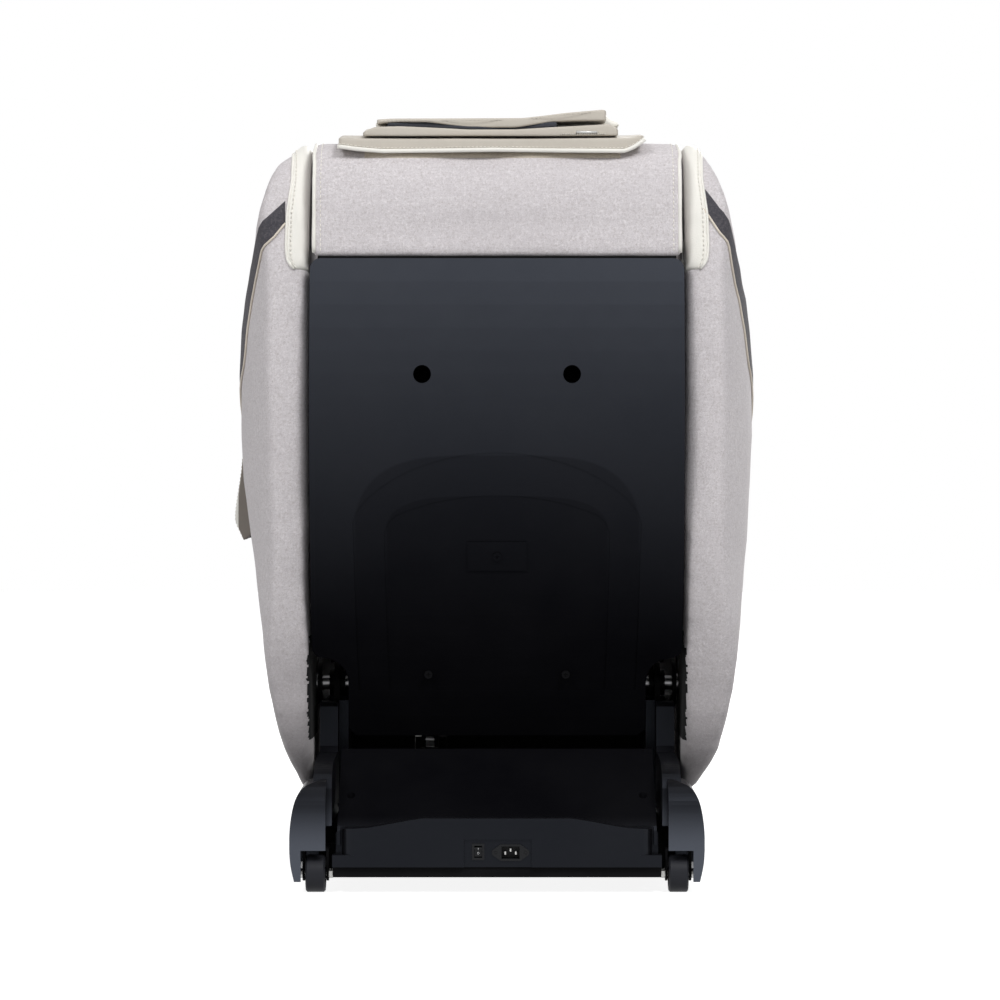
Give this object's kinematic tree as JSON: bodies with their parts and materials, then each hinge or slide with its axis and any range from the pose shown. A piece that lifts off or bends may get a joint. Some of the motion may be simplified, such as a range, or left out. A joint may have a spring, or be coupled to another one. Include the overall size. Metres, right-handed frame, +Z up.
{
  "type": "massage chair",
  "caption": "Upholstered massage chair with tilting seat shell, reclining back, climbing roller carriage, rising leg rest and sliding foot rest on a base with tip-back casters.",
  "frame": {"origin": "on the floor, at the centre of the footprint of the whole chair with the leg rest hanging", "axes": "+X to the sitter's left, +Y to the rear of the chair, +Z up; the chair faces -Y"},
  "size_m": [0.747, 1.2, 1.0654],
  "materials": {
    "steel_black": "black powder-coated steel",
    "zinc": "bright zinc-plated steel",
    "black_screws": "blackened screws",
    "cover_black": "satin black moulded plastic with a fine grain",
    "black_plastic": "black moulded plastic",
    "rubber_black": "black rubber",
    "caster_tread": "dark grey nylon wheel",
    "supply_case": "folded aluminium case",
    "motor_case": "grey painted motor cans",
    "gear_white": "natural acetal",
    "roller_tan": "tan rubber-covered massage rollers",
    "birch_board": "birch plywood",
    "pod_fabric": "heather greige woven upholstery with a charcoal leather stripe",
    "seat_fabric": "heather greige woven upholstery",
    "cream_leather": "cream polyurethane-coated upholstery fabric with leather grain",
    "key_red": "red silicone key",
    "key_grey": "light grey silicone keys"
  },
  "bodies": {
    "base": {"base_frame": "steel_black", "pivot_pillars": "steel_black", "tail_cover": "cover_black", "tail_cover_screws": "zinc", "side_cover_left": "cover_black", "side_cover_right": "cover_black", "front_panel": "cover_black", "front_feet": "rubber_black", "caster_forks": "steel_black", "caster_axles": "zinc", "power_inlet": "black_plastic", "switch_housing": "black_plastic", "power_supply": "supply_case", "control_box": "black_plastic", "air_pump": "motor_case"},
    "caster_left": {"caster_wheel_left": "caster_tread"},
    "caster_right": {"caster_wheel_right": "caster_tread"},
    "rocker": {"switch_rocker": "black_plastic"},
    "seat": {"seat_frame": "steel_black", "main_shaft": "zinc", "seat_board": "birch_board", "seat_cushion": "seat_fabric", "side_pod_left": "pod_fabric", "side_pod_right": "pod_fabric", "pod_trim_left": "cream_leather", "pod_trim_right": "cream_leather", "remote_pocket": "cream_leather", "leg_actuator": "black_plastic"},
    "remote": {"remote_control": "black_plastic"},
    "key_power_body": {"key_power": "key_red"},
    "key_recline_body": {"key_recline": "key_grey"},
    "key_program_body": {"key_program": "key_grey"},
    "back": {"back_frame": "steel_black", "guide_racks": "gear_white", "back_cover": "cover_black", "back_cover_screws": "black_screws", "back_hatch": "cover_black", "head_pad": "pod_fabric", "back_cushion": "seat_fabric", "pillow_flap": "cream_leather"},
    "pillow": {"head_pillow": "cream_leather"},
    "carriage": {"carriage_frame": "steel_black", "carriage_motors": "motor_case"},
    "pinions": {"drive_pinions": "gear_white"},
    "kneading": {"kneading_shaft": "zinc"},
    "arm_left": {"roller_arm_left": "steel_black"},
    "arm_right": {"roller_arm_right": "steel_black"},
    "roller_upper_left": {"roller_upper_left": "roller_tan"},
    "roller_lower_left": {"roller_lower_left": "roller_tan"},
    "roller_upper_right": {"roller_upper_right": "roller_tan"},
    "roller_lower_right": {"roller_lower_right": "roller_tan"},
    "leg_rest": {"leg_frame": "steel_black", "calf_pad": "seat_fabric"},
    "foot_rest": {"foot_slide": "zinc", "foot_pad": "seat_fabric"},
    "tilt_body": {"tilt_actuator": "black_plastic"},
    "tilt_rod_body": {"tilt_rod": "zinc"},
    "recline_body": {"recline_actuator": "black_plastic"},
    "recline_rod_body": {"recline_rod": "zinc"},
    "leg_rod_body": {"leg_rod": "zinc"}
  },
  "joints": [
    {"name": "seat_tilt", "type": "hinge", "parent": "base", "child": "seat", "pos_m": [0, 0.31, 0.262], "axis": [-1, 0, 0], "range_deg": [0, 15]},
    {"name": "back_recline", "type": "hinge", "parent": "seat", "child": "back", "pos_m": [0, 0.31, 0.262], "axis": [-1, 0, 0], "range_deg": [0, 28]},
    {"name": "leg_lift", "type": "hinge", "parent": "seat", "child": "leg_rest", "pos_m": [0, -0.285, 0.385], "axis": [-1, 0, 0], "range_deg": [0, 80]},
    {"name": "foot_extend", "type": "slide", "parent": "leg_rest", "child": "foot_rest", "axis": [0, 0, -1], "range_m": [0, 0.09]},
    {"name": "carriage_climb", "type": "slide", "parent": "back", "child": "carriage", "axis": [0, 0.1736, 0.9848], "range_m": [0, 0.33]},
    {"name": "pinion_spin", "type": "hinge", "parent": "carriage", "child": "pinions", "pos_m": [0, 0.39987, 0.43909], "axis": [1, 0, 0], "range_deg": [0, 788]},
    {"name": "kneading_spin", "type": "hinge", "parent": "carriage", "child": "kneading", "pos_m": [0, 0.3456, 0.46389], "axis": [1, 0, 0], "continuous": true},
    {"name": "tap_left", "type": "hinge", "parent": "carriage", "child": "arm_left", "pos_m": [0, 0.3456, 0.46389], "axis": [1, 0, 0], "range_deg": [-6, 6]},
    {"name": "tap_right", "type": "hinge", "parent": "carriage", "child": "arm_right", "pos_m": [0, 0.3456, 0.46389], "axis": [1, 0, 0], "range_deg": [-6, 6]},
    {"name": "roller_upper_left_spin", "type": "hinge", "parent": "arm_left", "child": "roller_upper_left", "pos_m": [0, 0.32277, 0.51868], "axis": [1, 0, 0], "continuous": true},
    {"name": "roller_lower_left_spin", "type": "hinge", "parent": "arm_left", "child": "roller_lower_left", "pos_m": [0, 0.30019, 0.39066], "axis": [1, 0, 0], "continuous": true},
    {"name": "roller_upper_right_spin", "type": "hinge", "parent": "arm_right", "child": "roller_upper_right", "pos_m": [0, 0.32277, 0.51868], "axis": [1, 0, 0], "continuous": true},
    {"name": "roller_lower_right_spin", "type": "hinge", "parent": "arm_right", "child": "roller_lower_right", "pos_m": [0, 0.30019, 0.39066], "axis": [1, 0, 0], "continuous": true},
    {"name": "pillow_flip", "type": "hinge", "parent": "back", "child": "pillow", "pos_m": [0, 0.47296, 1.01342], "axis": [-1, 0, 0], "range_deg": [0, 120]},
    {"name": "tilt_swivel", "type": "hinge", "parent": "base", "child": "tilt_body", "pos_m": [0, 0.2, 0.092], "axis": [-1, 0, 0], "range_deg": [0, 10.8]},
    {"name": "tilt_extend", "type": "slide", "parent": "tilt_body", "child": "tilt_rod_body", "axis": [0, -0.6357, 0.7719], "range_m": [0, 0.0502]},
    {"name": "recline_swivel", "type": "hinge", "parent": "seat", "child": "recline_body", "pos_m": [0.095, -0.02, 0.247], "axis": [-1, 0, 0], "range_deg": [-2.2, 0.5]},
    {"name": "recline_extend", "type": "slide", "parent": "recline_body", "child": "recline_rod_body", "axis": [0, 0.9774, -0.2113], "range_m": [-0.0409, 0]},
    {"name": "leg_rod_extend", "type": "slide", "parent": "seat", "child": "leg_rod_body", "axis": [0, -0.9848, 0.1736], "range_m": [0, 0.1017]},
    {"name": "switch_rock", "type": "hinge", "parent": "base", "child": "rocker", "pos_m": [0.025, 0.592, 0.0565], "axis": [1, 0, 0], "range_deg": [0, 16]},
    {"name": "remote_lift", "type": "slide", "parent": "seat", "child": "remote", "axis": [0, 0, 1], "range_m": [0, 0.16]},
    {"name": "key_power_press", "type": "slide", "parent": "remote", "child": "key_power_body", "axis": [-1, 0, 0], "range_m": [0, 0.0008], "stiffness_N_per_m": 400},
    {"name": "key_program_press", "type": "slide", "parent": "remote", "child": "key_program_body", "axis": [-1, 0, 0], "range_m": [0, 0.0008], "stiffness_N_per_m": 400},
    {"name": "key_recline_rock", "type": "hinge", "parent": "remote", "child": "key_recline_body", "pos_m": [0.3624, 0.13, 0.5213], "axis": [0, 1, 0], "range_deg": [-3, 3], "stiffness_Nm_per_rad": 0.05},
    {"name": "caster_left_spin", "type": "hinge", "parent": "base", "child": "caster_left", "pos_m": [0.242, 0.572, 0.025], "axis": [1, 0, 0], "continuous": true},
    {"name": "caster_right_spin", "type": "hinge", "parent": "base", "child": "caster_right", "pos_m": [-0.242, 0.572, 0.025], "axis": [1, 0, 0], "continuous": true}
  ],
  "couplings": [
    {"joint": "pinion_spin", "follows": "carriage_climb", "rad_per_m": 41.667},
    {"joint": "tap_right", "follows": "tap_left", "ratio": -1},
    {"joint": "tilt_swivel", "follows": "seat_tilt", "ratio": 0.68962},
    {"joint": "tilt_extend", "follows": "seat_tilt", "m_per_rad": 0.18811},
    {"joint": "recline_swivel", "follows": "back_recline", "ratio": -0.061541},
    {"joint": "recline_extend", "follows": "back_recline", "m_per_rad": -0.081706},
    {"joint": "leg_rod_extend", "follows": "leg_lift", "m_per_rad": 0.072115}
  ]
}
